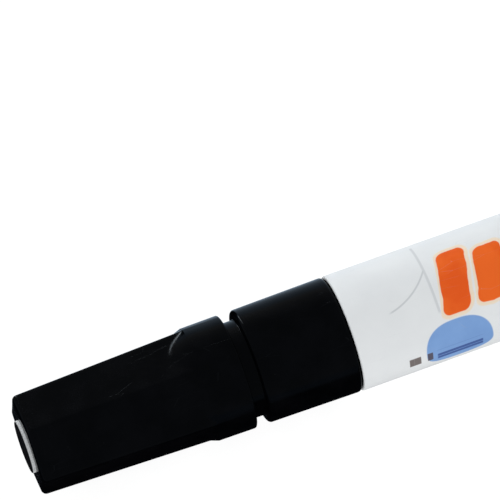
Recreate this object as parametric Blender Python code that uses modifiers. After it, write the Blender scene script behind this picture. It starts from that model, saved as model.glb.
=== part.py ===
"""A capped brush pen with a valve: press the brush nib and it lets paint through from the barrel.

Run with: blender --background --python part.py

Metres, +Z up. The pen lies along X on the surface z = 0, cap towards -X, barrel towards +X, and the
origin is at the bottom centre of its box. Nearly every piece is turned about the pen's axis. Along the
axis, u = 0 is the front face of the collar, which the cap's mouth faces, and u grows towards the tail.
"""

import math

import bmesh
import bpy
from mathutils import Matrix

# ---------------------------------------------------------------- driving dimensions, in metres
# Barrel
BARREL_RADIUS = 0.0080
BARREL_LENGTH = 0.0946
BARREL_WALL = 0.0005
BARREL_BASE = 0.0010
BARREL_TAIL_CORNER = 0.0014

# Front section: nose, spigot that the cap sits on, collar, and plug inside the barrel
COLLAR_LENGTH = 0.0130
COLLAR_DRAFT = 0.00016  # how much smaller the collar is at its front than at its back
COLLAR_INSET = 0.00003  # how much smaller the collar's back is than the barrel
COLLAR_EDGE = 0.00045
COLLAR_SEAM = 0.00015
SPIGOT_LENGTH = 0.00725
SNAP_BEAD = 0.00005
SNAP_BEAD_PLACE = 0.0030  # ahead of the collar
CONE_LENGTH = 0.0045
CONE_STEP = 0.0013  # the cone's back is this much smaller than the spigot
NOSE_LENGTH = 0.0030
NOSE_WALL = 0.0010
PLUG_LENGTH = 0.0060
PLUG_WALL = 0.0016
EDGE_BREAK = 0.0003

# Brush nib and the nozzle that guides it
NIB_RADIUS = 0.0016
NIB_REACH = 0.0065  # how far the brush stands out of the nozzle
NIB_TAPER = 0.0062
NIB_POINT_RADIUS = 0.00018
NOZZLE_REACH = 0.0030
NOZZLE_SHANK = 0.0050
NOZZLE_WALL = 0.0006
NOZZLE_FLANGE = 0.0004

# Feed felt and valve
FEED_DEPTH = 0.0070  # the feed chamber starts this far ahead of the collar's front
FEED_RADIUS = 0.0045
FELT_LENGTH = 0.0033
LEDGE_PLACE = 0.0040  # the valve seal's ledge, behind the collar's front
SEAL_THICKNESS = 0.0010
STEM_RADIUS = 0.0012
STEM_FLOW_GAP = 0.0008
CUP_WALL = 0.0007
CUP_DEPTH = 0.0020
CUP_FLOOR = 0.0006
CUP_PLACE = -0.0010  # u of the cup's floor, where the nib's back end stands
POPPET_RADIUS = 0.0032
POPPET_THICKNESS = 0.0015
STEM_PIN_RADIUS = 0.0013
STEM_PIN_LENGTH = 0.0070
CAGE_WALL = 0.0008
CAGE_END_WALL = 0.0012
CAGE_STANDOUT = 0.0036  # how far the cage stands out of the plug into the paint
CAGE_INLET_RADIUS = 0.0015
CAGE_WINDOW_LENGTH = 0.0018
CAGE_WINDOW_WIDTH = 0.0026
SPRING_WIRE_RADIUS = 0.00023
SPRING_TURNS = 8
SPRING_CLEARANCE = 0.0005  # between the spring's wire and the stem's pin

# Barrel gasket and mixing balls
GASKET_RADIUS = 0.00042
GASKET_PLACE = 0.0023  # from the collar's back to the middle of the gasket's groove
BALL_RADIUS = 0.0025
BALL_PLACE = 0.0400

# Cap: a six-sided tapered body that runs into a round ring at the mouth
CAP_GAP = 0.0018  # between the cap's mouth and the collar
CAP_WALL = 0.0011
CAP_RING_INSET = 0.00015  # how much smaller the cap's ring is than the barrel
CAP_RING_DRAFT = 0.00005
CAP_RING_LENGTH = 0.0052
CAP_RAMP_LENGTH = 0.0045
CAP_RAMP_ANGLE = 20.0
CAP_SIDES = 6
CAP_TAPER = 0.00075  # how much smaller the six-sided body is at its end than at the ring
CAP_BODY_INSET = 0.00002  # how much lower the body's corners are than the ring
CAP_CORNER = 0.0007  # rounding of the body's long edges
CAP_END_EDGE = 0.0005
CAP_MOUTH_EDGE = 0.00025
CAP_END_WALL = 0.0012
CAP_TURN = 22.4  # one flat looks up, this many degrees from +Z towards +Y
TIP_ROOM = 0.0045  # free length ahead of the brush's point
INNER_CAP_WALL = 0.0008
INNER_CAP_FLOOR = 0.0011
INNER_CAP_SPACE = 0.00065  # between the inner cap and the outer cap
INNER_CAP_LAP = 0.0025  # how far the inner cap reaches over the nose
BOSS_RADIUS = 0.0036
BOSS_HEIGHT = 0.0005
BOSS_EDGE = 0.00015

# Clearances
SLIDE_FIT = 0.0001
PRESS_FIT = 0.00005
FACE_GAP = 0.0001
BALL_GAP = 0.0001

# Facets
ROUND_SIDES = 24
BALL_SIDES = 20
GASKET_SIDES = 10
SPRING_POINTS_PER_TURN = 14
NIB_RINGS = 7

# ---------------------------------------------------------------- worked out: radii
BARREL_BORE = BARREL_RADIUS - BARREL_WALL
COLLAR_BACK_RADIUS = BARREL_RADIUS - COLLAR_INSET
COLLAR_FRONT_RADIUS = COLLAR_BACK_RADIUS - COLLAR_DRAFT
CAP_RING_BACK = BARREL_RADIUS - CAP_RING_INSET
CAP_RING_FRONT = CAP_RING_BACK - CAP_RING_DRAFT
CAP_BORE = CAP_RING_BACK - CAP_WALL
SPIGOT_RADIUS = CAP_BORE - SLIDE_FIT - SNAP_BEAD
PLUG_RADIUS = BARREL_BORE - SLIDE_FIT
CAGE_SEAT_RADIUS = PLUG_RADIUS - PLUG_WALL
CAGE_RADIUS = CAGE_SEAT_RADIUS - PRESS_FIT
CAGE_BORE = CAGE_RADIUS - CAGE_WALL
SEAL_HOLE = STEM_RADIUS + STEM_FLOW_GAP
NIB_PASSAGE = NIB_RADIUS + SLIDE_FIT
NOZZLE_SHANK_RADIUS = NIB_PASSAGE + NOZZLE_WALL
NOZZLE_SEAT_RADIUS = NOZZLE_SHANK_RADIUS + PRESS_FIT
NOSE_RADIUS = NOZZLE_SEAT_RADIUS + NOSE_WALL
CUP_BORE = NIB_RADIUS + PRESS_FIT
CUP_RADIUS = CUP_BORE + CUP_WALL
FELT_RADIUS = FEED_RADIUS - PRESS_FIT
SPRING_RADIUS = STEM_PIN_RADIUS + SPRING_CLEARANCE + SPRING_WIRE_RADIUS
INNER_CAP_BORE = NOSE_RADIUS + SLIDE_FIT
INNER_CAP_RADIUS = INNER_CAP_BORE + INNER_CAP_WALL
CAP_END_BORE = INNER_CAP_RADIUS + INNER_CAP_SPACE
BOSS_HOLE = BOSS_RADIUS + PRESS_FIT
CORNER_CUT = CAP_CORNER * (1 / math.cos(math.pi / CAP_SIDES) - 1)  # what rounding takes off a corner
CAP_BODY_BACK = CAP_RING_FRONT - CAP_BODY_INSET + CORNER_CUT
CAP_BODY_FRONT = CAP_BODY_BACK - CAP_TAPER
CAP_CAVITY = CAP_BODY_BACK * math.cos(math.pi / CAP_SIDES) - CAP_WALL
GASKET_GROOVE_RADIUS = PLUG_RADIUS - 2 * GASKET_RADIUS
GASKET_RING_RADIUS = GASKET_GROOVE_RADIUS + GASKET_RADIUS + PRESS_FIT

# ---------------------------------------------------------------- worked out: places along the axis
SPIGOT_FRONT = -SPIGOT_LENGTH
CONE_FRONT = SPIGOT_FRONT - CONE_LENGTH
NOSE_FRONT = CONE_FRONT - NOSE_LENGTH
NOZZLE_MOUTH = NOSE_FRONT - NOZZLE_REACH
NOZZLE_SEAT_BACK = NOSE_FRONT + NOZZLE_SHANK
NIB_POINT = NOZZLE_MOUTH - NIB_REACH
FEED_FRONT = -FEED_DEPTH
FELT_FRONT = FEED_FRONT + FACE_GAP
SEAL_BACK = LEDGE_PLACE + FACE_GAP + SEAL_THICKNESS
POPPET_FRONT = SEAL_BACK + FACE_GAP
POPPET_BACK = POPPET_FRONT + POPPET_THICKNESS
CAGE_FRONT = SEAL_BACK + FACE_GAP
PLUG_BACK = COLLAR_LENGTH + PLUG_LENGTH
CAGE_BACK = PLUG_BACK + CAGE_STANDOUT
CAGE_END_FRONT = CAGE_BACK - CAGE_END_WALL
GASKET_MIDDLE = COLLAR_LENGTH + GASKET_PLACE
BARREL_MOUTH = COLLAR_LENGTH + COLLAR_SEAM
BARREL_TAIL = BARREL_MOUTH + BARREL_LENGTH
INNER_CAP_END = NIB_POINT - TIP_ROOM
CAP_END_INSIDE = INNER_CAP_END - INNER_CAP_FLOOR - FACE_GAP
CAP_END = CAP_END_INSIDE - CAP_END_WALL
BOSS_END = CAP_END - BOSS_HEIGHT
INNER_CAP_MOUTH = NOSE_FRONT + INNER_CAP_LAP
CAP_MOUTH = -CAP_GAP
CAP_RING_START = CAP_MOUTH - CAP_RING_LENGTH
CAP_RAMP_START = CAP_RING_START - CAP_RAMP_LENGTH
CAP_BORE_END = SPIGOT_FRONT - EDGE_BREAK

# The pen lies on one flat of the barrel's many-sided round.
AXIS_HEIGHT = BARREL_RADIUS * math.cos(math.pi / ROUND_SIDES)
AXIS_MIDDLE = (BOSS_END + BARREL_TAIL) / 2


# ---------------------------------------------------------------- tools
def clear_scene():
    for obj in list(bpy.data.objects):
        bpy.data.objects.remove(obj)


def collection(name):
    made = bpy.data.collections.new(name)
    bpy.context.scene.collection.children.link(made)
    return made


def finish(name, colour, roughness, metallic=0.0):
    """A Principled material."""
    made = bpy.data.materials.new(name)
    made.use_nodes = True
    shader = made.node_tree.nodes["Principled BSDF"]
    shader.inputs["Base Color"].default_value = (*colour, 1.0)
    shader.inputs["Roughness"].default_value = roughness
    shader.inputs["Metallic"].default_value = metallic
    return made


def arc(u, r, radius, start, end, steps=3):
    """Points on an arc round (u, r). Angles in degrees from the +u direction towards +r."""
    points = []
    for step in range(steps + 1):
        angle = math.radians(start + (end - start) * step / steps)
        points.append((u + radius * math.cos(angle), r + radius * math.sin(angle)))
    return points


def place(obj, material, parts, axis):
    """Puts a piece on the pen's axis, in its collection, in its material."""
    for old in list(obj.users_collection):
        old.objects.unlink(obj)
    parts.objects.link(obj)
    obj.parent = axis
    obj.data.materials.clear()
    obj.data.materials.append(material)
    return obj


def turned(name, outline, material, parts, axis, ring=False):
    """A piece turned about the pen's axis. The outline's points are (u, radius). They run along the
    outside from front to back; a ring's outline comes back along the inside and closes on itself."""
    mesh = bpy.data.meshes.new(name)
    points = [(u, 0.0, r) for u, r in reversed(outline)]
    edges = [(i, i + 1) for i in range(len(points) - 1)]
    if ring:
        edges.append((len(points) - 1, 0))
    mesh.from_pydata(points, edges, [])
    obj = bpy.data.objects.new(name, mesh)
    screw = obj.modifiers.new("turn", "SCREW")
    screw.axis = "X"
    screw.angle = 2 * math.pi
    screw.steps = ROUND_SIDES
    screw.render_steps = ROUND_SIDES
    screw.use_merge_vertices = True
    screw.merge_threshold = 1e-6
    screw.use_smooth_shade = False
    return place(obj, material, parts, axis)


def cutter(obj):
    """A solid that only cuts or joins other solids."""
    obj.hide_render = True
    obj.display_type = "WIRE"
    return obj


def boolean(obj, tool, operation):
    step = obj.modifiers.new(tool.name, "BOOLEAN")
    step.operation = operation
    step.solver = "EXACT"
    step.object = tool


# ---------------------------------------------------------------- pieces
def barrel(material, parts, axis):
    """An extruded aluminium tube with a closed, flat tail."""
    base = BARREL_TAIL - BARREL_BASE
    inner_corner = BARREL_TAIL_CORNER - BARREL_WALL
    outer_arc_u = BARREL_TAIL - BARREL_TAIL_CORNER
    outer_arc_r = BARREL_RADIUS - BARREL_TAIL_CORNER
    outline = [
        (base, 0),
        *arc(base - inner_corner, BARREL_BORE - inner_corner, inner_corner, 0, 90, 2),
        (BARREL_MOUTH, BARREL_BORE),
        (BARREL_MOUTH, BARREL_RADIUS),
        *arc(outer_arc_u, outer_arc_r, BARREL_TAIL_CORNER, 90, 0),
        (BARREL_TAIL, 0),
    ]
    return turned("barrel", outline, material, parts, axis)


def front_section(material, parts, axis):
    """Nose, cone, spigot, collar and plug in one moulding, bored from the back for felt and valve."""
    groove_front = GASKET_MIDDLE - GASKET_RADIUS - PRESS_FIT
    groove_back = GASKET_MIDDLE + GASKET_RADIUS + PRESS_FIT
    bead_radius = SPIGOT_RADIUS + SNAP_BEAD
    outside = [
        (NOSE_FRONT, NOZZLE_SEAT_RADIUS),
        (NOSE_FRONT, NOSE_RADIUS - EDGE_BREAK),
        (NOSE_FRONT + EDGE_BREAK, NOSE_RADIUS),
        (CONE_FRONT, NOSE_RADIUS),
        (SPIGOT_FRONT, SPIGOT_RADIUS - CONE_STEP),
        (SPIGOT_FRONT, SPIGOT_RADIUS - EDGE_BREAK),
        (SPIGOT_FRONT + EDGE_BREAK, SPIGOT_RADIUS),
        (-SNAP_BEAD_PLACE - EDGE_BREAK, SPIGOT_RADIUS),
        (-SNAP_BEAD_PLACE, bead_radius),
        (-SNAP_BEAD_PLACE + EDGE_BREAK, SPIGOT_RADIUS),
        (0, SPIGOT_RADIUS),
        *arc(COLLAR_EDGE, COLLAR_FRONT_RADIUS - COLLAR_EDGE, COLLAR_EDGE, 180, 90, 2),
        *arc(COLLAR_LENGTH - COLLAR_EDGE, COLLAR_BACK_RADIUS - COLLAR_EDGE, COLLAR_EDGE, 90, 0, 2),
        (COLLAR_LENGTH, PLUG_RADIUS),
        (groove_front, PLUG_RADIUS),
        (groove_front, GASKET_GROOVE_RADIUS),
        (groove_back, GASKET_GROOVE_RADIUS),
        (groove_back, PLUG_RADIUS),
        (PLUG_BACK - EDGE_BREAK, PLUG_RADIUS),
        (PLUG_BACK, PLUG_RADIUS - EDGE_BREAK),
    ]
    inside = [
        (PLUG_BACK, CAGE_SEAT_RADIUS),
        (LEDGE_PLACE, CAGE_SEAT_RADIUS),
        (LEDGE_PLACE, FEED_RADIUS),
        (FEED_FRONT, FEED_RADIUS),
        (FEED_FRONT, NIB_PASSAGE),
        (NOZZLE_SEAT_BACK, NIB_PASSAGE),
        (NOZZLE_SEAT_BACK, NOZZLE_SEAT_RADIUS),
    ]
    return turned("front_section", outside + inside, material, parts, axis, ring=True)


def nozzle(material, parts, axis):
    """A sleeve pressed into the nose. Its flange stops against the nose, and the nib slides in it."""
    flange_back = NOSE_FRONT - FACE_GAP
    shank_back = NOZZLE_SEAT_BACK - FACE_GAP
    outline = [
        (NOZZLE_MOUTH, NIB_PASSAGE),
        (NOZZLE_MOUTH, NOZZLE_SHANK_RADIUS - NOZZLE_FLANGE),
        (flange_back - NOZZLE_FLANGE, NOZZLE_SHANK_RADIUS + NOZZLE_FLANGE),
        (flange_back, NOZZLE_SHANK_RADIUS + NOZZLE_FLANGE),
        (flange_back, NOZZLE_SHANK_RADIUS),
        (shank_back, NOZZLE_SHANK_RADIUS),
        (shank_back, NIB_PASSAGE),
    ]
    return turned("nozzle", outline, material, parts, axis, ring=True)


def brush_nib(material, parts, axis):
    """A rod of bonded fibre that ends in a brush point."""
    taper = []
    for ring in range(NIB_RINGS + 1):
        share = ring / NIB_RINGS
        swell = 1 - (1 - share) ** 2
        radius = NIB_POINT_RADIUS + (NIB_RADIUS - NIB_POINT_RADIUS) * swell
        taper.append((NIB_POINT + NIB_TAPER * share, radius))
    back = CUP_PLACE - FACE_GAP
    outline = [(NIB_POINT, 0), *taper, (back, NIB_RADIUS), (back, 0)]
    return turned("brush_nib", outline, material, parts, axis)


def feed_felt(material, parts, axis):
    """A felt ring round the nib, in the front of the feed chamber."""
    back = FELT_FRONT + FELT_LENGTH
    outline = [(FELT_FRONT, FELT_RADIUS), (back, FELT_RADIUS), (back, NIB_PASSAGE), (FELT_FRONT, NIB_PASSAGE)]
    return turned("feed_felt", outline, material, parts, axis, ring=True)


def valve_seal(material, parts, axis):
    """A rubber washer on the ledge. The stem's head closes on its back face."""
    front = LEDGE_PLACE + FACE_GAP
    outline = [(front, CAGE_RADIUS), (SEAL_BACK, CAGE_RADIUS), (SEAL_BACK, SEAL_HOLE), (front, SEAL_HOLE)]
    return turned("valve_seal", outline, material, parts, axis, ring=True)


def valve_stem(material, parts, axis):
    """A cup that holds the nib, a thin stem through the seal, the valve's head, and the spring's pin."""
    cup_back = CUP_PLACE + CUP_FLOOR
    pin_end = POPPET_BACK + STEM_PIN_LENGTH
    outline = [
        (CUP_PLACE, 0),
        (CUP_PLACE, CUP_BORE),
        (CUP_PLACE - CUP_DEPTH, CUP_BORE),
        (CUP_PLACE - CUP_DEPTH, CUP_RADIUS),
        (cup_back, CUP_RADIUS),
        (cup_back, STEM_RADIUS),
        (POPPET_FRONT, STEM_RADIUS),
        (POPPET_FRONT, POPPET_RADIUS),
        (POPPET_BACK, POPPET_RADIUS),
        (POPPET_BACK, STEM_PIN_RADIUS),
        (pin_end, STEM_PIN_RADIUS),
        (pin_end, 0),
    ]
    return turned("valve_stem", outline, material, parts, axis)


def valve_cage(material, parts, cutters, axis):
    """A cage pressed in behind the seal. It holds the spring, and its windows let the paint in."""
    outline = [
        (CAGE_FRONT, CAGE_RADIUS),
        (CAGE_BACK - EDGE_BREAK, CAGE_RADIUS),
        (CAGE_BACK, CAGE_RADIUS - EDGE_BREAK),
        (CAGE_BACK, CAGE_INLET_RADIUS),
        (CAGE_END_FRONT, CAGE_INLET_RADIUS),
        (CAGE_END_FRONT, CAGE_BORE),
        (CAGE_FRONT, CAGE_BORE),
    ]
    cage = turned("valve_cage", outline, material, parts, axis, ring=True)
    window_middle = CAGE_END_FRONT - EDGE_BREAK - CAGE_WINDOW_LENGTH / 2
    for turn in range(2):
        bpy.ops.mesh.primitive_cube_add(size=1)
        window = cutter(bpy.context.object)
        window.name = f"window_cutter_{turn + 1}"
        window.scale = (CAGE_WINDOW_LENGTH, 3 * CAGE_RADIUS, CAGE_WINDOW_WIDTH)
        window.location = (window_middle, 0, 0)
        window.rotation_euler = (math.pi / 2 * turn, 0, 0)
        place(window, material, cutters, axis)
        boolean(cage, window, "DIFFERENCE")
    return cage


def valve_spring(material, parts, axis):
    """A coil spring between the stem's head and the cage's end, with a flat turn at each end."""
    front = POPPET_BACK + SPRING_WIRE_RADIUS + FACE_GAP
    back = CAGE_END_FRONT - SPRING_WIRE_RADIUS - FACE_GAP
    flat_pitch = 2.2 * SPRING_WIRE_RADIUS
    open_pitch = (back - front - 2 * flat_pitch) / (SPRING_TURNS - 2)
    count = SPRING_TURNS * SPRING_POINTS_PER_TURN
    curve = bpy.data.curves.new("valve_spring", "CURVE")
    curve.dimensions = "3D"
    curve.bevel_depth = SPRING_WIRE_RADIUS
    curve.bevel_resolution = 2
    curve.use_fill_caps = True
    spline = curve.splines.new("POLY")
    spline.points.add(count)
    for i, point in enumerate(spline.points):
        turns = i / SPRING_POINTS_PER_TURN
        open_turns = min(max(turns - 1, 0), SPRING_TURNS - 2)
        u = front + flat_pitch * (turns - open_turns) + open_pitch * open_turns
        angle = 2 * math.pi * turns
        point.co = (u, SPRING_RADIUS * math.cos(angle), SPRING_RADIUS * math.sin(angle), 1)
    return place(bpy.data.objects.new("valve_spring", curve), material, parts, axis)


def barrel_gasket(material, parts, axis):
    """An O-ring in the plug's groove."""
    bpy.ops.mesh.primitive_torus_add(
        major_radius=GASKET_RING_RADIUS,
        minor_radius=GASKET_RADIUS,
        major_segments=ROUND_SIDES,
        minor_segments=GASKET_SIDES,
        rotation=(0, math.pi / 2, 0),
        location=(GASKET_MIDDLE, 0, 0),
    )
    gasket = bpy.context.object
    gasket.name = "barrel_gasket"
    return place(gasket, material, parts, axis)


def mixing_ball(number, side, material, parts, axis):
    """One of two loose steel balls that lie side by side on the barrel's bore."""
    bore_flat = BARREL_BORE * math.cos(math.pi / ROUND_SIDES)
    across = BALL_RADIUS + BALL_GAP
    reach = bore_flat - BALL_RADIUS - BALL_GAP
    bpy.ops.mesh.primitive_uv_sphere_add(segments=BALL_SIDES, ring_count=BALL_SIDES // 2, radius=BALL_RADIUS)
    ball = bpy.context.object
    ball.name = f"mixing_ball_{number}"
    # The axis is turned by half a side, so the ball's place is turned back by it.
    angle = math.asin(across / reach) * side + math.pi / ROUND_SIDES
    ball.location = (BALL_PLACE, -reach * math.sin(angle), -reach * math.cos(angle))
    return place(ball, material, parts, axis)


def inner_cap(material, parts, axis):
    """The cap's seal: a cup over the nose, whose end plugs the hole in the outer cap."""
    flange = CAP_END_INSIDE + FACE_GAP
    outline = [
        (BOSS_END, 0),
        (BOSS_END, BOSS_RADIUS - BOSS_EDGE),
        (BOSS_END + BOSS_EDGE, BOSS_RADIUS),
        (flange, BOSS_RADIUS),
        (flange, INNER_CAP_RADIUS),
        (INNER_CAP_MOUTH, INNER_CAP_RADIUS),
        (INNER_CAP_MOUTH, INNER_CAP_BORE),
        (INNER_CAP_END, INNER_CAP_BORE),
        (INNER_CAP_END, 0),
    ]
    return turned("inner_cap", outline, material, parts, axis)


def six_sided_body(material, parts, axis):
    """The cap's solid body, with rounded long edges and a rounded rim at its closed end."""
    length = CAP_RING_START - CAP_END
    # The cone stands with a corner towards +Y. Lying along X that corner keeps its place.
    corner_turn = math.radians(CAP_TURN) + math.pi / ROUND_SIDES
    lie_down = Matrix.Rotation(math.pi / 2, 4, "Y")
    solid = bmesh.new()
    bmesh.ops.create_cone(
        solid,
        cap_ends=True,
        segments=CAP_SIDES,
        radius1=CAP_BODY_FRONT,
        radius2=CAP_BODY_BACK,
        depth=length,
        matrix=Matrix.Rotation(-corner_turn, 4, "X") @ lie_down,
    )
    weights = solid.edges.layers.float.new("bevel_weight_edge")
    for edge in solid.edges:
        front, back = sorted(vertex.co.x for vertex in edge.verts)
        if back - front > length / 2:
            edge[weights] = 1
        elif front < 0:
            edge[weights] = CAP_END_EDGE / CAP_CORNER
    mesh = bpy.data.meshes.new("outer_cap")
    solid.to_mesh(mesh)
    solid.free()
    body = bpy.data.objects.new("outer_cap", mesh)
    body.location = (CAP_END + length / 2, 0, 0)
    bevel = body.modifiers.new("corners", "BEVEL")
    bevel.limit_method = "WEIGHT"
    bevel.width = CAP_CORNER * math.tan(math.pi / CAP_SIDES)
    bevel.segments = 3
    return place(body, material, parts, axis)


def cap_ring(material, cutters, axis):
    """The round ring at the cap's mouth and the ramp that sinks into the six-sided body."""
    ramp_drop = CAP_RAMP_LENGTH * math.tan(math.radians(CAP_RAMP_ANGLE))
    outline = [
        (CAP_RAMP_START, 0),
        (CAP_RAMP_START, CAP_RING_FRONT - ramp_drop),
        (CAP_RING_START, CAP_RING_FRONT),
        *arc(CAP_MOUTH - CAP_MOUTH_EDGE, CAP_RING_BACK - CAP_MOUTH_EDGE, CAP_MOUTH_EDGE, 90, 0, 2),
        (CAP_MOUTH, 0),
    ]
    return cutter(turned("cap_ring", outline, material, cutters, axis))


def cap_hollow(material, cutters, axis):
    """The space inside the cap, with the hole in its end."""
    outline = [
        (CAP_END - FACE_GAP, 0),
        (CAP_END - FACE_GAP, BOSS_HOLE),
        (CAP_END_INSIDE, BOSS_HOLE),
        (CAP_END_INSIDE, CAP_END_BORE),
        (CAP_BORE_END - EDGE_BREAK, CAP_CAVITY),
        (CAP_BORE_END, CAP_BORE),
        (CAP_MOUTH - EDGE_BREAK, CAP_BORE),
        (CAP_MOUTH + EDGE_BREAK, CAP_BORE + EDGE_BREAK),
        (CAP_MOUTH + EDGE_BREAK, 0),
    ]
    return cutter(turned("cap_hollow", outline, material, cutters, axis))


def outer_cap(material, parts, cutters, axis):
    """A tapered six-sided shell with a round ring at its mouth and a hole in its end."""
    cap = six_sided_body(material, parts, axis)
    boolean(cap, cap_ring(material, cutters, axis), "UNION")
    boolean(cap, cap_hollow(material, cutters, axis), "DIFFERENCE")
    return cap


def main():
    clear_scene()
    parts = collection("brush_pen")
    cutters = collection("cutters")
    axis = bpy.data.objects.new("pen_axis", None)
    parts.objects.link(axis)
    axis.location = (-AXIS_MIDDLE, 0, AXIS_HEIGHT)
    axis.rotation_euler = (math.pi / ROUND_SIDES, 0, 0)

    black = finish("black_plastic", (0.006, 0.007, 0.010), 0.30)
    lacquer = finish("white_lacquer", (0.74, 0.76, 0.76), 0.35)
    natural = finish("natural_plastic", (0.70, 0.70, 0.66), 0.45)
    fibre = finish("nib_fibre", (0.82, 0.80, 0.74), 0.90)
    felt = finish("felt", (0.55, 0.54, 0.50), 0.95)
    rubber = finish("rubber", (0.03, 0.03, 0.03), 0.80)
    steel = finish("steel", (0.62, 0.63, 0.64), 0.22, 1.0)

    barrel(lacquer, parts, axis)
    front_section(black, parts, axis)
    barrel_gasket(rubber, parts, axis)
    nozzle(black, parts, axis)
    brush_nib(fibre, parts, axis)
    feed_felt(felt, parts, axis)
    valve_seal(rubber, parts, axis)
    valve_stem(natural, parts, axis)
    valve_spring(steel, parts, axis)
    valve_cage(natural, parts, cutters, axis)
    mixing_ball(1, -1, steel, parts, axis)
    mixing_ball(2, 1, steel, parts, axis)
    inner_cap(black, parts, axis)
    outer_cap(black, parts, cutters, axis)


main()
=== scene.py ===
"""The looks of a capped brush pen with a valve, lying on a pale table.

Pieces are made in millimetres along the pen's axis: u = 0 is the collar's front face, towards the
cap's mouth, and u grows towards the tail.
"""

import math

import bpy
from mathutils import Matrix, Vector


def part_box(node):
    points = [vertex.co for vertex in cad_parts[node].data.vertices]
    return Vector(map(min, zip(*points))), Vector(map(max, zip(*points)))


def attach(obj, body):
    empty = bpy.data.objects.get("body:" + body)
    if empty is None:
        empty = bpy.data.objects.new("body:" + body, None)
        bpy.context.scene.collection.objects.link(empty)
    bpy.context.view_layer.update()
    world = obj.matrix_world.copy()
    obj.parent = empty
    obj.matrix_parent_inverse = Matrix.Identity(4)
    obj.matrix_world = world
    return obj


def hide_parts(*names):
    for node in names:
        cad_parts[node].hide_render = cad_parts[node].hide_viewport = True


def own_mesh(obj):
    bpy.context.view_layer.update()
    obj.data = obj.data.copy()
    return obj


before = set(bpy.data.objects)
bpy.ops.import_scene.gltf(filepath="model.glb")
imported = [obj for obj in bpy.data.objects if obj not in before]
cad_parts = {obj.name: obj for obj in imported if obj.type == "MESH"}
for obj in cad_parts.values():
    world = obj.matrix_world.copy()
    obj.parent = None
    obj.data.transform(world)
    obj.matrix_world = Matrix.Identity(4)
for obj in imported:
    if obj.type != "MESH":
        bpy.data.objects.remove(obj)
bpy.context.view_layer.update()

MM = 0.001

# ---------------------------------------------------------------- where the pen is
BARREL_LOW, BARREL_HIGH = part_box("barrel")
AXIS_Z = (BARREL_LOW[2] + BARREL_HIGH[2]) / 2
BARREL_MOUTH = 13.15
U_TO_X = BARREL_LOW[0] / MM - BARREL_MOUTH


def span(node):
    """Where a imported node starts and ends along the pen."""
    low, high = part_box(node)
    return low[0] / MM - U_TO_X, high[0] / MM - U_TO_X


BARREL_TAIL = span("barrel")[1]
NOSE_FRONT, PLUG_BACK = span("front_section")
NOZZLE_MOUTH, NOZZLE_BACK = span("nozzle")
NIB_POINT, NIB_BACK = span("brush_nib")
CAP_END, CAP_MOUTH = span("outer_cap")
BOSS_END, INNER_CAP_MOUTH = span("inner_cap")
SPRING_FRONT, SPRING_BACK = span("valve_spring")

# ---------------------------------------------------------------- sizes, in millimetres
GLUE_GAP = 0.1  # left between pieces that seat on each other

BARREL_RADIUS = 8.0
BARREL_BORE = 7.5
BARREL_BASE = 1.0
TAIL_CORNER = 1.4
DISH_DEPTH = 0.25
DISH_RIM = 5.6
DISH_RADIUS = 4.9

COLLAR_BACK = 13.0
COLLAR_FRONT_RADIUS = 7.81
COLLAR_BACK_RADIUS = 7.97
PLUG_RADIUS = 7.40
GROOVE_FRONT = 14.83
GROOVE_BACK = 15.77
GROOVE_RADIUS = 6.56
SPIGOT_RADIUS = 6.60
SPIGOT_FRONT = NOSE_FRONT + 7.5
SNAP_BEAD = -3.0
BEAD_HALF_WIDTH = 0.4
BEAD_HEIGHT = 0.06
CONE_FRONT = NOSE_FRONT + 3.0
CONE_BACK_RADIUS = 5.30
NOSE_RADIUS = 3.35
PASSAGE = 1.70
FEED_FRONT = -7.0
FEED_RADIUS = 4.50
LEDGE = 4.0
CAGE_SEAT = 5.80

NOZZLE_SEAT = 2.35
NOZZLE_SHANK = 2.30
NOZZLE_LIP = 1.98
NOZZLE_STEP = 2.22
NOZZLE_FLANGE = 2.68
FLANGE_FRONT = NOSE_FRONT - 0.7
STEP_BACK = NOSE_FRONT - 1.1

NIB_RADIUS = 1.60
NIB_TAPER = 6.2
NIB_POINT_RADIUS = 0.14
FLUTE_DEPTH = 0.016
FLUTE_FLOOR = 0.003

CAP_FLATS = 6
CAP_ROUNDNESS = 49  # the higher, the sharper the edges between the flats
CAP_FLAT_END = 6.18  # across half the flats at the closed end
CAP_FLAT_BACK = 6.83  # and at the ring
CAP_TURN = math.radians(22.4)  # one flat looks up, turned this much from +Z towards +Y
CAP_RIM = 0.7
CAP_END_RING = 4.6  # on the closed end, between the boss hole and the rim
CAP_RING_START = CAP_MOUTH - 5.2
CAP_RING_FRONT_RADIUS = 7.80
CAP_RING_BACK_RADIUS = 7.85
CAP_RING_SWELL = 0.02  # what the blend between ramp and ring adds
CAP_RAMP_SLOPE = math.tan(math.radians(20.0))
CAP_RAMP_REACH = 4.5
CAP_RAMP_BLEND = 0.10
CAP_BORE = 6.75
CAP_CAVITY_BACK = 5.65
CAP_CAVITY_END = 4.90
CAP_END_INSIDE = CAP_END + 1.2

INNER_CAP_END = NIB_POINT - 4.5
INNER_CAP_RADIUS = 4.25
INNER_CAP_BORE = 3.45
BOSS_RADIUS = 3.6
BOSS_HOLE = 3.65
GATE_DEPTH = 0.03  # a shallow ring round the moulding gate, in the middle of the boss
GATE_FLOOR = 1.2
GATE_RADIUS = 1.5

SPRING_RADIUS = 2.03
SPRING_WIRE = 0.23
SPRING_TURNS = 8
STEM_TRAVEL = 2.0
TABLE_Z = AXIS_Z - BARREL_RADIUS * MM

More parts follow.
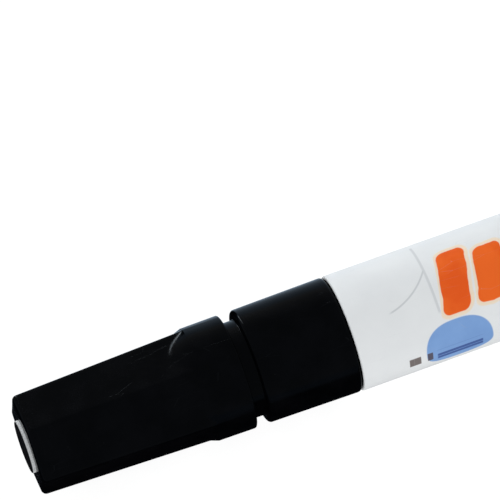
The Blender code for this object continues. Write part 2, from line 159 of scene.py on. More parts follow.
# ---------------------------------------------------------------- the print, in millimetres
# Along the pen from the barrel's mouth, and across it from the print's middle line.
PRINT_TURN = math.radians(-21.6)  # the middle line, from +Z towards +Y
PRINT_REPEAT = math.pi * BARREL_RADIUS  # the same print stands on the pen's other side
PRINT_CUT = 0.6  # how much of one print lies below its middle line
LINE_COLOUR = (0.32, 0.34, 0.37)
SEAM_AT = 11.9
BOW_CENTRE = (3.9, 10.0)
BOW_RADIUS = 9.6
STROKES_START = 12.4
STROKES_LENGTH = 45.0
STROKE_PITCH = 5.0
STROKE_LEAN = 0.22
STROKE_HALF = (0.95, 2.8)
STROKE_CORNER = 0.8
STROKE_MIDDLE = (2.3, 1.55)
PANEL_MIDDLE = (13.6, -7.6)
PANEL_HALF_LENGTH = 4.7
PANEL_RISE = 4.6
PANEL_DROP = 2.6
PANEL_ROUNDNESS = 2.6
BAR_FROM = 8.4
BAR_PITCH = 1.3
SQUARE_FROM = 7.1
SQUARE_PITCH = 1.9
SQUARES_MIDDLE = (8.1, -7.9)

# ---------------------------------------------------------------- the studio
CAMERA_AZIMUTH = math.radians(-21.0)
CAMERA_ELEVATION = math.radians(67.0)
CAMERA_DISTANCE = 0.70
CAMERA_LENS = 379.5
CAMERA_SENSOR = 36.0
CAMERA_AIM = Vector((BARREL_LOW[0] - 0.00706, 0.01557, AXIS_Z))
SKY_STRENGTH = 0.88
BAND_STRENGTH = 24.0
TABLE_HALF = 3.0
LAMP_PLACE = Vector((0.9, 0.1, 0.9))
LAMP_SIDE = 0.9
LAMP_POWER = 0.6


def at(u, angle, radius):
    """The point at u along the pen, angle from +Z towards +Y, and radius from the axis."""
    return (
        (u + U_TO_X) * MM,
        math.sin(angle) * radius * MM,
        AXIS_Z + math.cos(angle) * radius * MM,
    )


# ---------------------------------------------------------------- shapes
def fillet(points, steps=5):
    """Rounds the corners of an outline. Each point is (u, radius) or (u, radius, rounding)."""
    made = []
    count = len(points)
    for i, point in enumerate(points):
        corner = Vector(point[:2])
        rounding = point[2] if len(point) > 2 else 0
        if not rounding:
            made.append(tuple(corner))
            continue
        before = (Vector(points[i - 1][:2]) - corner).normalized()
        after = (Vector(points[(i + 1) % count][:2]) - corner).normalized()
        half = before.angle(after) / 2
        reach = rounding / math.tan(half)
        start = corner + before * reach
        end = corner + after * reach
        centre = corner + (before + after).normalized() * (rounding / math.sin(half))
        first = start - centre
        last = end - centre
        sweep = first.angle(last)
        for step in range(steps + 1):
            share = step / steps
            weight_a = math.sin((1 - share) * sweep) / math.sin(sweep)
            weight_b = math.sin(share * sweep) / math.sin(sweep)
            made.append(tuple(centre + first * weight_a + last * weight_b))
    return made


def mesh_piece(name, points, faces, sharp=35):
    mesh = bpy.data.meshes.new(name)
    mesh.from_pydata(points, [], faces)
    mesh.validate()
    mesh.polygons.foreach_set("use_smooth", [True] * len(mesh.polygons))
    mesh.set_sharp_from_angle(angle=math.radians(sharp))
    piece = bpy.data.objects.new(name, mesh)
    bpy.context.scene.collection.objects.link(piece)
    return piece


def lofted(name, outline, sides=144, sharp=35):
    """A body round the axis. The outline is a closed line of (u, radius), outside from front to
    back and back along the inside. A radius is a number, or a function that gives it for an angle,
    and a radius of 0 is a pole."""
    points = []
    rings = []
    for u, radius in outline:
        start = len(points)
        if radius == 0:
            points.append(at(u, 0, 0))
            rings.append([start] * sides)
            continue
        for side in range(sides):
            angle = 2 * math.pi * side / sides
            points.append(at(u, angle, radius(angle) if callable(radius) else radius))
        rings.append(list(range(start, start + sides)))
    faces = []
    for i, ring in enumerate(rings):
        after = rings[(i + 1) % len(rings)]
        if ring[0] == ring[1] and after[0] == after[1]:
            continue
        for side in range(sides):
            other = (side + 1) % sides
            corners = (ring[side], after[side], after[other], ring[other])
            # A pole stands twice among the corners of its faces, so they come out as triangles.
            faces.append(tuple(dict.fromkeys(corners)))
    return mesh_piece(name, points, faces, sharp)


def stations(start, end, step):
    """Points from start to end, evenly, no more than step apart."""
    count = max(1, math.ceil(abs(end - start) / step))
    return [start + (end - start) * i / count for i in range(count + 1)]


def soft_max(a, b, softness):
    """The higher of two values, with the corner between them rounded."""
    return max(a, b) + softness * math.log(1 + math.exp(-abs(a - b) / softness))


# ---------------------------------------------------------------- pieces
def make_barrel():
    """Extruded tube: a slightly rolled mouth, a rounded tail corner and a shallow dish in its
    base."""
    outline = fillet(
        [
            (BARREL_MOUTH, BARREL_RADIUS, 0.25),
            (BARREL_TAIL, BARREL_RADIUS, TAIL_CORNER),
            (BARREL_TAIL, DISH_RIM, 0.5),
            (BARREL_TAIL - DISH_DEPTH, DISH_RADIUS, 0.5),
            (BARREL_TAIL - DISH_DEPTH, 0),
            (BARREL_TAIL - BARREL_BASE, 0),
            (BARREL_TAIL - BARREL_BASE, BARREL_BORE, 0.9),
            (BARREL_MOUTH, BARREL_BORE, 0.12),
        ],
        steps=8,
    )
    return lofted("barrel_tube", outline, sides=192)


def make_front_section():
    """Nose, cone, spigot with its snap bead, collar, and the plug that sits in the barrel."""
    outline = fillet(
        [
            (NOSE_FRONT, NOZZLE_SEAT),
            (NOSE_FRONT, NOSE_RADIUS, 0.3),
            (CONE_FRONT, NOSE_RADIUS, 0.4),
            (SPIGOT_FRONT, CONE_BACK_RADIUS, 0.1),
            (SPIGOT_FRONT, SPIGOT_RADIUS, 0.3),
            (SNAP_BEAD - BEAD_HALF_WIDTH, SPIGOT_RADIUS, 0.2),
            (SNAP_BEAD, SPIGOT_RADIUS + BEAD_HEIGHT, 0.2),
            (SNAP_BEAD + BEAD_HALF_WIDTH, SPIGOT_RADIUS, 0.2),
            (0, SPIGOT_RADIUS, 0.15),
            (0, COLLAR_FRONT_RADIUS, 0.45),
            (COLLAR_BACK, COLLAR_BACK_RADIUS, 0.5),
            (COLLAR_BACK, PLUG_RADIUS),
            (GROOVE_FRONT, PLUG_RADIUS),
            (GROOVE_FRONT, GROOVE_RADIUS),
            (GROOVE_BACK, GROOVE_RADIUS),
            (GROOVE_BACK, PLUG_RADIUS),
            (PLUG_BACK, PLUG_RADIUS, 0.3),
            (PLUG_BACK, CAGE_SEAT),
            (LEDGE, CAGE_SEAT),
            (LEDGE, FEED_RADIUS),
            (FEED_FRONT, FEED_RADIUS),
            (FEED_FRONT, PASSAGE),
            (NOZZLE_BACK + GLUE_GAP, PASSAGE),
            (NOZZLE_BACK + GLUE_GAP, NOZZLE_SEAT),
        ],
        steps=6,
    )
    return lofted("front_moulding", outline, sides=192)


def make_nozzle():
    """Sleeve in the nose, with a stepped mouth and a small flange against the nose."""
    outline = fillet(
        [
            (NOZZLE_MOUTH, PASSAGE, 0.08),
            (NOZZLE_MOUTH, NOZZLE_LIP, 0.12),
            (STEP_BACK, NOZZLE_STEP, 0.3),
            (FLANGE_FRONT, NOZZLE_FLANGE, 0.12),
            (NOSE_FRONT - GLUE_GAP, NOZZLE_FLANGE, 0.08),
            (NOSE_FRONT - GLUE_GAP, NOZZLE_SHANK),
            (NOZZLE_BACK, NOZZLE_SHANK, 0.2),
            (NOZZLE_BACK, PASSAGE, 0.1),
        ]
    )
    return lofted("nozzle_sleeve", outline, sides=96)


def fluted(u, radius):
    """The nib's radius at each angle, cut back a little between the fibres."""
    share = min(1.0, max(0.0, (u - NIB_POINT) / NIB_TAPER))
    depth = FLUTE_DEPTH * math.sin(math.pi * min(1.0, share * 1.15)) + FLUTE_FLOOR

    def radius_at(angle):
        wander = 0.35 * math.sin(1.7 * u) + 0.2 * math.sin(3.1 * u + 2 * angle)
        wave = math.sin(31 * angle + wander) + 0.6 * math.sin(53 * angle - 1.6 * wander)
        return radius - depth * (1.6 - wave) / 3.2

    return radius_at


def make_brush_nib():
    """A rod of bonded fibre ground to a brush point, finely fluted where the fibres end."""
    swell = NIB_RADIUS - NIB_POINT_RADIUS
    line = []
    for share in stations(0, 1, 0.025):
        radius = NIB_POINT_RADIUS + swell * (1 - (1 - share) ** 2.0)
        line.append((NIB_POINT + NIB_TAPER * share, radius))
    for u in stations(NIB_POINT + NIB_TAPER + 0.2, NIB_BACK - 0.2, 1.0):
        line.append((u, NIB_RADIUS))
    line.append((NIB_BACK, NIB_RADIUS - 0.2))
    rings = [(u, fluted(u, radius)) for u, radius in line]
    return lofted("brush_fibre", [(NIB_POINT, 0), *rings, (NIB_BACK, 0)], sides=240, sharp=80)


def make_inner_cap():
    """The cap's sealing cup. Its low boss fills the hole in the outer cap's closed end."""
    flange = CAP_END_INSIDE + GLUE_GAP
    outline = fillet(
        [
            (BOSS_END, 0),
            (BOSS_END + GATE_DEPTH, GATE_FLOOR, 0.4),
            (BOSS_END, GATE_RADIUS, 0.4),
            (BOSS_END, BOSS_RADIUS, 0.18),
            (flange, BOSS_RADIUS),
            (flange, INNER_CAP_RADIUS, 0.15),
            (INNER_CAP_MOUTH, INNER_CAP_RADIUS, 0.15),
            (INNER_CAP_MOUTH, INNER_CAP_BORE, 0.3),
            (INNER_CAP_END, INNER_CAP_BORE, 0.5),
            (INNER_CAP_END, 0),
        ]
    )
    return lofted("sealing_cup", outline, sides=120)


def cap_surface(u, sunk=0.0):
    """The cap's radius at each angle: flats with rounded edges that rise up a ramp into the round
    ring at the mouth, and the whole sunk by a depth."""
    share = (u - CAP_END) / (CAP_RING_START - CAP_END)
    flat = CAP_FLAT_END + (CAP_FLAT_BACK - CAP_FLAT_END) * share
    ramp = CAP_RING_FRONT_RADIUS - (CAP_RING_START - u) * CAP_RAMP_SLOPE
    ramp = min(ramp, CAP_RING_FRONT_RADIUS)

    def radius_at(angle):
        total = 0
        for side in range(CAP_FLATS):
            facing = math.cos(angle - CAP_TURN - 2 * math.pi * side / CAP_FLATS)
            if facing > 0:
                total += facing**CAP_ROUNDNESS
        body = flat * total ** (-1 / CAP_ROUNDNESS)
        return soft_max(body, ramp, CAP_RAMP_BLEND) - sunk

    return radius_at


def make_outer_cap():
    """The tapered shell, open at the mouth, with a hole for the sealing cup's boss in its end."""
    ramp_start = CAP_RING_START - CAP_RAMP_REACH
    outline = [(CAP_END, BOSS_HOLE), (CAP_END, CAP_END_RING)]
    for share in stations(0, 1, 0.125):
        angle = share * math.pi / 2
        u = CAP_END + CAP_RIM * (1 - math.cos(angle))
        outline.append((u, cap_surface(u, CAP_RIM * (1 - math.sin(angle)))))
    sides = stations(CAP_END + CAP_RIM, ramp_start, 0.9)[1:]
    sides += stations(ramp_start, CAP_RING_START, 0.08)[1:]
    outline += [(u, cap_surface(u)) for u in sides]
    ring_and_inside = fillet(
        [
            (CAP_RING_START, CAP_RING_FRONT_RADIUS + CAP_RING_SWELL),
            (CAP_MOUTH, CAP_RING_BACK_RADIUS, 0.25),
            (CAP_MOUTH, CAP_BORE + 0.15),
            (CAP_MOUTH - 0.3, CAP_BORE),
            (SPIGOT_FRONT - 0.3, CAP_BORE),
            (SPIGOT_FRONT - 0.6, CAP_CAVITY_BACK),
            (CAP_END_INSIDE, CAP_CAVITY_END),
            (CAP_END_INSIDE, BOSS_HOLE),
        ]
    )
    outline += ring_and_inside[1:]
    return lofted("cap_shell", outline, sides=288, sharp=14)


def make_spring():
    """The valve's coil spring, with a closed turn at each end."""
    steps = 28
    sides = 10
    closed = 2.2 * SPRING_WIRE
    front = SPRING_FRONT + SPRING_WIRE
    open_turns = SPRING_TURNS - 2
    pitch = (SPRING_BACK - SPRING_WIRE - front - 2 * closed) / open_turns
    rings = SPRING_TURNS * steps + 1
    points = []
    for i in range(rings):
        turns = i / steps
        opened = min(max(turns - 1, 0), open_turns)
        middle = front + closed * (turns - opened) + pitch * opened
        for side in range(sides):
            around = 2 * math.pi * side / sides
            u = middle + SPRING_WIRE * math.sin(around)
            radius = SPRING_RADIUS + SPRING_WIRE * math.cos(around)
            points.append(at(u, 2 * math.pi * turns, radius))
    faces = []
    for row in range(0, (rings - 1) * sides, sides):
        for side in range(sides):
            other = (side + 1) % sides
            faces.append((row + side, row + other, row + sides + other, row + sides + side))
    faces.append(tuple(reversed(range(sides))))
    faces.append(tuple(range((rings - 1) * sides, rings * sides)))
    return mesh_piece("coil_spring", points, faces, sharp=60)


# ---------------------------------------------------------------- nodes
class Wire:
    """A node's output that Python's operators work on."""

    def __init__(self, nodes, socket):
        self.nodes = nodes
        self.socket = socket

    def maths(self, operation, *values):
        """A Math node whose first value is this one."""
        sockets = dict(enumerate((self, *values)))
        return self.nodes.add("ShaderNodeMath", {"operation": operation}, sockets)

    def __add__(self, other):
        return self.maths("ADD", other)

    def __radd__(self, other):
        return self.maths("ADD", other)

    def __sub__(self, other):
        return self.maths("SUBTRACT", other)

    def __rsub__(self, other):
        return self.nodes.add("ShaderNodeMath", {"operation": "SUBTRACT"}, {0: other, 1: self})

    def __mul__(self, other):
        return self.maths("MULTIPLY", other)

    def __rmul__(self, other):
        return self.maths("MULTIPLY", other)

    def __truediv__(self, other):
        return self.maths("DIVIDE", other)

    def __pow__(self, other):
        return self.maths("POWER", other)

    def __abs__(self):
        return self.maths("ABSOLUTE")

    def low(self, other):
        """The lower of the two."""
        return self.maths("MINIMUM", other)

    def high(self, other):
        """The higher of the two."""
        return self.maths("MAXIMUM", other)

    def sine(self):
        return self.maths("SINE")

    def root(self):
        return self.maths("SQRT")

    def ramp(self, start, end, low=0.0, high=1.0):
        """Goes smoothly from low to high while the value goes from start to end."""
        settings = {"interpolation_type": "SMOOTHSTEP"}
        limits = {"From Min": start, "From Max": end, "To Min": low, "To Max": high}
        return self.nodes.add("ShaderNodeMapRange", settings, {"Value": self, **limits})

    def fall(self, start, end):
        """Goes smoothly from 1 down to 0 while the value goes from start to end."""
        return self.ramp(start, end, 1.0, 0.0)


class Nodes:
    """A tree of nodes, and the one way its nodes are made."""

    def __init__(self, tree):
        self.tree = tree

    def feed(self, socket, value):
        if isinstance(value, Wire):
            self.tree.links.new(value.socket, socket)
        elif isinstance(value, tuple) and len(socket.default_value) > len(value):
            socket.default_value = (*value, 1.0)
        else:
            socket.default_value = value

    def add(self, kind, settings=None, sockets=None, out=0):
        node = self.tree.nodes.new(kind)
        for name, value in (settings or {}).items():
            setattr(node, name, value)
        for name, value in (sockets or {}).items():
            self.feed(node.inputs[name], value)
        return Wire(self, node.outputs[out])

    def parts(self, vector):
        """The X, Y and Z of a vector."""
        split = self.add("ShaderNodeSeparateXYZ", sockets={0: vector})
        return [Wire(self, socket) for socket in split.socket.node.outputs]

    def mix(self, share, a, b):
        """Colour a, going over to colour b with the share."""
        settings = {"data_type": "RGBA"}
        return self.add("ShaderNodeMix", settings, {0: share, 6: a, 7: b}, out=2)


class Finish(Nodes):
    """A material. Its constants go straight onto the shader's sockets."""

    def __init__(self, name, **constants):
        self.material = bpy.data.materials.new(name)
        self.material.use_nodes = True
        super().__init__(self.material.node_tree)
        self.shader = self.tree.nodes["Principled BSDF"]
        self.drive(**constants)

    def drive(self, **values):
        for name, value in values.items():
            self.feed(self.shader.inputs[name.replace("_", " ")], value)

    def place(self):
        """The point on the piece, in metres, before any joint moves it."""
        return self.add("ShaderNodeTexCoord", out=3)

    def along(self):
        """u, in millimetres."""
        return self.parts(self.place())[0] / MM - U_TO_X

    def from_axis(self):
        """Y and Z from the pen's axis, in millimetres."""
        y, z = self.parts(self.place())[1:]
        return y / MM, (z - AXIS_Z) / MM

    def stretched(self, along, across):
        """The place, scaled along the pen and across it."""
        sockets = {0: self.place(), 1: (along, across, across)}
        return self.add("ShaderNodeVectorMath", {"operation": "MULTIPLY"}, sockets)

    def noise(self, vector, scale, detail=3.0, roughness=0.55):
        sockets = {"Vector": vector, "Scale": scale, "Detail": detail, "Roughness": roughness}
        return self.add("ShaderNodeTexNoise", sockets=sockets)

    def cells(self, vector, scale, feature="F1"):
        sockets = {"Vector": vector, "Scale": scale}
        return self.add("ShaderNodeTexVoronoi", {"feature": feature}, sockets)

    def bump(self, height, distance, strength=1.0):
        sockets = {"Height": height, "Distance": distance, "Strength": strength}
        self.drive(Normal=self.add("ShaderNodeBump", sockets=sockets))

    def scratches(self, vector, scale, fineness):
        """Sparse thin lines: the edges of big cells, broken up by a coarse noise."""
        edge = self.cells(vector, scale, "DISTANCE_TO_EDGE")
        gate = self.noise(vector, scale * 0.8, 1.0).ramp(0.56, 0.66)
        return edge.fall(0.0, fineness) * gate


# ---------------------------------------------------------------- finishes
def black_plastic():
    """Moulded black plastic: fine mould texture, rub marks along the pen, and a little dust."""
    tint = (0.80, 0.90, 1.0, 1.0)
    finish = Finish("black_plastic", Specular_IOR_Level=0.027, Specular_Tint=tint)
    cloud = finish.noise(finish.place(), 260.0, 4.0)
    grain = finish.noise(finish.place(), 5200.0, 2.0)
    rubs = finish.scratches(finish.stretched(140.0, 620.0), 1.0, 0.012)
    dust = finish.cells(finish.place(), 1500.0).fall(0.03, 0.10)
    dust = dust * finish.noise(finish.place(), 340.0, 2.0).ramp(0.62, 0.74)
    deep = (0.0005, 0.0006, 0.0009)
    faded = (0.0012, 0.0013, 0.0018)
    colour = finish.mix(cloud.ramp(0.35, 0.70), deep, faded)
    colour = finish.mix(rubs * 0.20, colour, (0.014, 0.015, 0.017))
    finish.drive(Base_Color=finish.mix(dust * 0.10, colour, (0.12, 0.12, 0.12)))
    finish.drive(Roughness=cloud.ramp(0.3, 0.7, 0.11, 0.19) + rubs * 0.2)
    finish.bump(grain * 0.6 + cloud * 0.4 - rubs * 0.7, 0.000012)
    return finish.material


def cup_plastic():
    """The sealing cup's matt black plastic, with a painted highlight: a white ring in its colour
    round the root of the boss, where it stands in the cap's end.
    """
    finish = Finish("sealing_cup_plastic", Specular_IOR_Level=0.03)
    u = finish.along()
    cloud = finish.noise(finish.place(), 420.0, 5.0)
    grain = finish.noise(finish.place(), 3800.0, 3.0)
    dark = (0.002, 0.002, 0.003)
    faded = (0.005, 0.005, 0.006)
    painted_highlight_white = (0.78, 0.79, 0.80)
    # Painted highlight: a white band round the boss's root stands in for the light caught there;
    # the plastic itself is black.
    root = u.ramp(CAP_END - 0.44, CAP_END - 0.36) * u.fall(CAP_END + 0.05, CAP_END + 0.10)
    root = root * grain.ramp(0.30, 0.55, 0.75, 1.0)
    colour = finish.mix(cloud.ramp(0.3, 0.7), dark, faded)
    finish.drive(Base_Color=finish.mix(root, colour, painted_highlight_white))
    finish.drive(Roughness=grain.ramp(0.3, 0.7, 0.55, 0.75))
    finish.bump(grain + cloud * 0.5, 0.000015)
    return finish.material


def thin_lines(along, across):
    """A thin line across the pen, and a thin curve that meets it."""
    seam = abs(along - SEAM_AT).fall(0.10, 0.24) * across.ramp(-1.8, -1.2)
    bow_along = along - BOW_CENTRE[0]
    bow_across = across - BOW_CENTRE[1]
    bow = abs((bow_along * bow_along + bow_across * bow_across).root() - BOW_RADIUS)
    bow = bow.fall(0.05, 0.18) * along.ramp(5.3, 6.1) * along.ramp(12.0, 11.8)
    bow = bow * across.ramp(9.0, 8.0)
    return (seam * 0.30).high(bow * 0.40)


def painted_strokes(finish, along, across):
    """Wide painted strokes that lean, of uneven length: the paint, and the pale edge round it."""
    row = along - across * STROKE_LEAN - STROKES_START
    count = (row / STROKE_PITCH).maths("FLOOR")
    uneven = (count * 2.3 + 0.8).sine() * 1.5
    ragged = (finish.noise(finish.place(), 420.0, 2.0) - 0.5) * 0.5
    half_width, half_length = STROKE_HALF
    middle_along, middle_across = STROKE_MIDDLE
    side = abs(row - count * STROKE_PITCH - middle_along) - half_width
    end = abs(across - middle_across - uneven * 0.4) - half_length - uneven * 0.5
    outside = (side.high(0) * side.high(0) + end.high(0) * end.high(0)).root()
    edge = outside + side.high(end).low(0) - STROKE_CORNER + ragged
    printed = row.ramp(0.0, 0.1) * row.fall(STROKES_LENGTH - 0.1, STROKES_LENGTH)
    return edge.fall(0.12, 0.28) * printed, edge.fall(0.55, 0.85) * printed


def domed_panel(along, across):
    """A domed panel, higher than it is deep: the panel, and the dark bars on it."""
    from_middle = along - PANEL_MIDDLE[0]
    up = across - PANEL_MIDDLE[1]
    reach_along = abs(from_middle) / PANEL_HALF_LENGTH
    reach_across = abs((up / PANEL_RISE).high(up / -PANEL_DROP))
    reach = reach_along**PANEL_ROUNDNESS + reach_across**PANEL_ROUNDNESS
    bars = abs((across + BAR_FROM) * (2 * math.pi / BAR_PITCH)).sine().ramp(0.1, 0.35)
    bars = bars * abs(from_middle).fall(3.1, 3.3)
    bars = bars * across.ramp(-6.9, -7.2) * across.ramp(-9.7, -9.4)
    return reach.fall(0.94, 1.04), bars


def small_squares(along, across):
    """Small squares in a row beside the panel."""
    squares = abs((along - SQUARE_FROM) * (2 * math.pi / SQUARE_PITCH)).sine().ramp(-0.2, 0.1)
    squares = squares * abs(along - SQUARES_MIDDLE[0]).fall(1.6, 1.7)
    return squares * abs(across - SQUARES_MIDDLE[1]).fall(0.75, 0.9)


def printed_lacquer():
    """White lacquer on aluminium: the print, a faint orange peel, hair scratches, a worn tail edge
    and the fine turned rings of the base."""
    finish = Finish("printed_lacquer", Specular_IOR_Level=0.12)
    u = finish.along()
    y, z = finish.from_axis()
    along = u - BARREL_MOUTH
    turned = y.maths("ARCTAN2", z) - PRINT_TURN
    below = PRINT_REPEAT * PRINT_CUT
    wrapped = turned * BARREL_RADIUS + below + 2 * PRINT_REPEAT
    across = wrapped.maths("MODULO", PRINT_REPEAT) - below

    cloud = finish.noise(finish.place(), 130.0, 4.0)
    peel = finish.noise(finish.place(), 900.0, 2.0)
    hair = finish.scratches(finish.stretched(160.0, 900.0), 1.0, 0.010)

    white = finish.mix(cloud.ramp(0.3, 0.7), (0.765, 0.780, 0.790), (0.800, 0.815, 0.822))
    colour = finish.mix(thin_lines(along, across), white, LINE_COLOUR)

    paint, pale_edge = painted_strokes(finish, along, across)
    orange = finish.mix(cloud.ramp(0.4, 0.6), (0.80, 0.100, 0.008), (0.86, 0.135, 0.014))
    colour = finish.mix(pale_edge * 0.75, colour, (0.90, 0.70, 0.48))
    colour = finish.mix(paint, colour, orange)

    panel, bars = domed_panel(along, across)
    blue = finish.mix(cloud.ramp(0.35, 0.65), (0.165, 0.320, 0.640), (0.200, 0.370, 0.700))
    blue = finish.mix(bars, blue, (0.035, 0.095, 0.320))
    colour = finish.mix(panel * 0.96, colour, blue)
    squares = small_squares(along, across)
    colour = finish.mix(squares * 0.85, colour, (0.085, 0.050, 0.040))

    colour = finish.mix(hair * 0.25, colour, (0.48, 0.50, 0.52))
    radius = (y * y + z * z).root()
    rings = (radius * 9.0 + cloud * 2.0).sine().ramp(-0.6, 0.9)
    rings = rings * u.ramp(BARREL_TAIL - 1.3, BARREL_TAIL - 1.2) * radius.ramp(4.9, 4.6)
    colour = finish.mix(rings * 0.20, colour, (0.55, 0.56, 0.58))
    worn = u.ramp(BARREL_TAIL - 0.9, BARREL_TAIL - 0.3) * cloud.ramp(0.50, 0.58)
    worn = worn * radius.ramp(6.9, 7.2) * 0.8
    finish.drive(Base_Color=finish.mix(worn, colour, (0.62, 0.63, 0.64)))
    finish.drive(Metallic=worn * 0.9)
    smooth_ink = paint * 0.04 + panel * 0.04
    finish.drive(Roughness=cloud.ramp(0.3, 0.7, 0.38, 0.48) - smooth_ink + hair * 0.2)
    raised_ink = paint * 0.5 + panel * 0.4
    finish.bump(peel * 0.5 + raised_ink - hair * 0.6 - worn * 0.8, 0.000010)
    return finish.material


def nib_fibre():
    """Bonded fibre: long pale strands with darker gaps, softer and greyer towards the point."""
    sheen = {"Sheen_Weight": 0.25, "Sheen_Roughness": 0.5}
    finish = Finish("nib_fibre", Specular_IOR_Level=0.2, **sheen)
    strands = finish.noise(finish.stretched(900.0, 9000.0), 1.0, 3.0, 0.6)
    cloud = finish.noise(finish.place(), 700.0, 3.0)
    gap = (0.46, 0.43, 0.37)
    strand = (0.84, 0.82, 0.76)
    colour = finish.mix(strands.ramp(0.35, 0.65), gap, strand)
    point = finish.along().ramp(NIB_POINT, NIB_POINT + 3.0, 0.35, 0.0)
    point = point * cloud.ramp(0.3, 0.7, 0.5, 1.0)
    finish.drive(Base_Color=finish.mix(point, colour, (0.40, 0.38, 0.34)))
    finish.drive(Roughness=strands.ramp(0.3, 0.7, 0.98, 0.82))
    finish.bump(strands, 0.00006, 0.8)
    return finish.material


def pressed_felt():
    """Felt: matted strands, with soft greyer patches."""
    finish = Finish("pressed_felt", Sheen_Weight=0.4, Specular_IOR_Level=0.1)
    strands = finish.noise(finish.place(), 3600.0, 5.0, 0.7)
    cloud = finish.noise(finish.place(), 500.0, 2.0)
    pale = finish.mix(strands.ramp(0.3, 0.7), (0.36, 0.35, 0.32), (0.66, 0.65, 0.60))
    grey = (0.44, 0.42, 0.38)
    finish.drive(Base_Color=finish.mix(cloud.ramp(0.4, 0.7, 0.0, 0.4), pale, grey))
    finish.drive(Roughness=strands.ramp(0.3, 0.7, 0.9, 1.0))
    finish.bump(strands, 0.00008)
    return finish.material


def natural_plastic():
    """Uncoloured plastic, a little see-through, with flow lines along the pen."""
    finish = Finish("natural_plastic", Subsurface_Weight=0.12, Subsurface_Scale=0.001)
    cloud = finish.noise(finish.place(), 300.0, 3.0)
    flow = finish.noise(finish.stretched(200.0, 1800.0), 1.0, 2.0)
    colour = finish.mix(cloud.ramp(0.3, 0.7), (0.62, 0.62, 0.57), (0.74, 0.74, 0.70))
    finish.drive(Base_Color=colour)
    finish.drive(Roughness=flow.ramp(0.3, 0.7, 0.38, 0.52))
    finish.bump(flow * 0.6 + cloud * 0.4, 0.000015)
    return finish.material


def seal_rubber():
    """Black rubber with a pale bloom."""
    finish = Finish("seal_rubber", Specular_IOR_Level=0.35)
    cloud = finish.noise(finish.place(), 600.0, 3.0)
    bloom = finish.noise(finish.place(), 2600.0, 4.0)
    dark = finish.mix(cloud.ramp(0.3, 0.7), (0.016, 0.016, 0.017), (0.034, 0.034, 0.035))
    pale = (0.09, 0.09, 0.09)
    finish.drive(Base_Color=finish.mix(bloom.ramp(0.55, 0.75, 0.0, 0.35), dark, pale))
    finish.drive(Roughness=bloom.ramp(0.3, 0.7, 0.62, 0.85))
    finish.bump(bloom, 0.00002)
    return finish.material


def bright_steel():
    """Drawn and polished steel, with draw lines along it and a faint haze."""
    finish = Finish("bright_steel")
    drawn = finish.noise(finish.stretched(500.0, 5200.0), 1.0, 2.0)
    haze = finish.noise(finish.place(), 800.0, 3.0)
    colour = finish.mix(haze.ramp(0.3, 0.7), (0.56, 0.57, 0.59), (0.68, 0.69, 0.70))
    finish.drive(Base_Color=colour)
    finish.drive(Metallic=haze.ramp(0.0, 0.2, 0.96, 1.0))
    finish.drive(Roughness=drawn.ramp(0.3, 0.7, 0.16, 0.30))
    finish.bump(drawn, 0.000008)
    return finish.material


def table_paper():
    """The pale table, lit from below as well as above, so it stays white under the pen."""
    finish = Finish("table_paper", Emission_Strength=0.92)
    fibres = finish.noise(finish.place(), 90.0, 4.0)
    patch = fibres.ramp(0.3, 0.7)
    finish.drive(Base_Color=finish.mix(patch, (0.18, 0.18, 0.18), (0.20, 0.20, 0.20)))
    finish.drive(Emission_Color=finish.mix(patch, (0.98, 0.98, 0.98), (1.0, 1.0, 1.0)))
    finish.drive(Roughness=fibres.ramp(0.3, 0.7, 0.85, 0.95))
    return finish.material


# ---------------------------------------------------------------- putting it together
def dress(piece, finish, body, slot, *nodes):
    piece.data.materials.append(finish)
    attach(piece, body)
    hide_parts(*nodes)


def refinish(node, finish):
    """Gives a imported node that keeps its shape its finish."""
    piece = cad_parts[node]
    if not piece.material_slots:
        piece.data.materials.append(finish)
    for holder in piece.material_slots:
        holder.material = finish


def studio_table():
    signs = ((-1, -1), (1, -1), (1, 1), (-1, 1))
    corners = [(x * TABLE_HALF, y * TABLE_HALF, TABLE_Z) for x, y in signs]
    table = mesh_piece("table_top", corners, [(0, 1, 2, 3)])
    table.data.materials.append(table_paper())
    # Gloss mirrors the studio and not the lit table, as it does under a black card.
    table.visible_glossy = False


def studio_sky():
    """A pale, even studio, with black card in front and below and one thin bright band behind the
    pen. Each part is placed by the direction towards it."""
    world = bpy.data.worlds.new("studio")
    world.use_nodes = True
    sky = Nodes(world.node_tree)
    x, y, z = sky.parts(sky.add("ShaderNodeTexCoord"))
    card = z.ramp(-0.22, -0.34) * y.ramp(0.36, 0.28).high(x.ramp(0.04, -0.04))
    band = x.ramp(-0.15, -0.12) * x.ramp(-0.04, -0.07) * y.ramp(0.3, 0.5)
    band = band * z.ramp(-0.20, -0.14) * z.ramp(0.34, 0.26)
    colour = sky.mix(z.ramp(0.0, -0.1), (0.975, 0.99, 1.0), (0.62, 0.80, 1.0))
    back_wall = y.ramp(0.2, 0.9) * z.ramp(-0.2, 0.1)
    colour = sky.mix(back_wall, colour, (0.86, 0.875, 0.885))
    colour = sky.mix(card, colour, (0.004, 0.004, 0.005))
    background = world.node_tree.nodes["Background"]
    sky.feed(background.inputs["Color"], sky.mix(band, colour, (0.88, 0.95, 1.0)))
    sky.feed(background.inputs["Strength"], band * BAND_STRENGTH + SKY_STRENGTH)
    bpy.context.scene.world = world


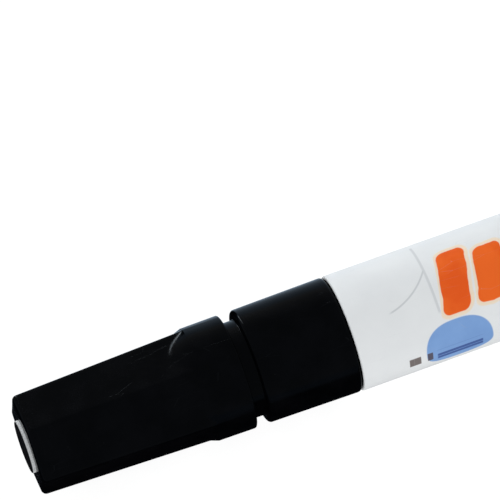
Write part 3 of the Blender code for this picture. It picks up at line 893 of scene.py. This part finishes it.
def overhead_lamp():
    """One large soft lamp, high up and well past the pen's tail."""
    data = bpy.data.lights.new("overhead", "AREA")
    data.shape = "SQUARE"
    data.size = LAMP_SIDE
    data.energy = LAMP_POWER
    lamp = bpy.data.objects.new("overhead", data)
    lamp.location = LAMP_PLACE
    towards_lamp = LAMP_PLACE - Vector((0.0, 0.0, AXIS_Z))
    lamp.rotation_euler = towards_lamp.to_track_quat("Z", "Y").to_euler()
    lamp.visible_camera = False
    bpy.context.scene.collection.objects.link(lamp)


def studio_camera():
    level = math.cos(CAMERA_ELEVATION)
    x = math.sin(CAMERA_AZIMUTH) * level
    y = -math.cos(CAMERA_AZIMUTH) * level
    back = Vector((x, y, math.sin(CAMERA_ELEVATION)))
    data = bpy.data.cameras.new("camera")
    data.sensor_width = CAMERA_SENSOR
    data.lens = CAMERA_LENS
    data.clip_start = 0.01
    camera = bpy.data.objects.new("camera", data)
    camera.location = CAMERA_AIM + back * CAMERA_DISTANCE
    camera.rotation_euler = back.to_track_quat("Z", "Y").to_euler()
    bpy.context.scene.collection.objects.link(camera)
    bpy.context.scene.camera = camera


def main():
    black = black_plastic()
    natural = natural_plastic()
    rubber = seal_rubber()
    steel = bright_steel()
    dress(make_barrel(), printed_lacquer(), "pen", "white_lacquer", "barrel")
    dress(make_front_section(), black, "pen", "black_plastic", "front_section")
    dress(make_nozzle(), black, "pen", "black_plastic", "nozzle")
    dress(make_brush_nib(), nib_fibre(), "nib", "nib_fibre", "brush_nib")
    dress(make_inner_cap(), cup_plastic(), "cap", "black_plastic", "inner_cap")
    dress(make_outer_cap(), black, "cap", "black_plastic", "outer_cap")
    spring = make_spring()
    dress(spring, steel, "pen", "steel", "valve_spring")
    length = SPRING_BACK - SPRING_FRONT
    anchor = at(SPRING_BACK, 0, 0)
    (length - STEM_TRAVEL) / length
    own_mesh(spring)
    refinish("feed_felt", pressed_felt())
    refinish("valve_stem", natural)
    refinish("valve_cage", natural)
    refinish("valve_seal", rubber)
    refinish("barrel_gasket", rubber)
    refinish("mixing_ball_1", steel)
    refinish("mixing_ball_2", steel)
    studio_table()
    studio_sky()
    overhead_lamp()
    studio_camera()
    bpy.context.scene.view_settings.view_transform = "Standard"


main()
bpy.context.view_layer.update()
